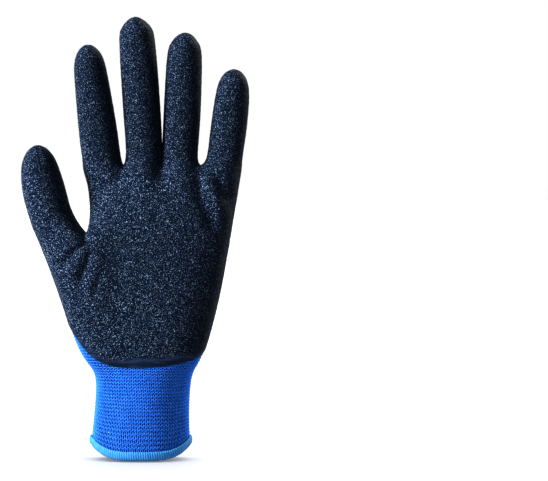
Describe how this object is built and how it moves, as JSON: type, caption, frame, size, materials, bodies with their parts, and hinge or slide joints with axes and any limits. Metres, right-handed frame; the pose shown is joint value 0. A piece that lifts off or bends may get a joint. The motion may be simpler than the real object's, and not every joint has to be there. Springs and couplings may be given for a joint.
{
  "type": "latex coated grip glove",
  "caption": "Seamless knitted work glove for the left hand, filled out as worn, with a crinkled latex coating on palm, fingers and thumb, a knitted wrist and a thread hem",
  "frame": {"origin": "centre of the wrist opening, at the height of the lowest point of the hem", "axes": "+Z from the wrist opening to the fingertips, -Y out of the palm, -X towards the thumb"},
  "size_m": [0.1278, 0.0416, 0.25],
  "materials": {
    "hand_knit": "matte royal blue plain knit",
    "cuff_knit": "matte royal blue elastic knit with small dark holes",
    "hem_thread": "light blue overlock thread",
    "latex": "satin near-black latex, crinkled on the palm and fingers and smooth at its edge"
  },
  "bodies": {
    "root": {"knit_hand": "hand_knit", "knit_cuff": "cuff_knit", "cuff_hem": "hem_thread", "latex_coating": "latex"}
  },
  "joints": []
}
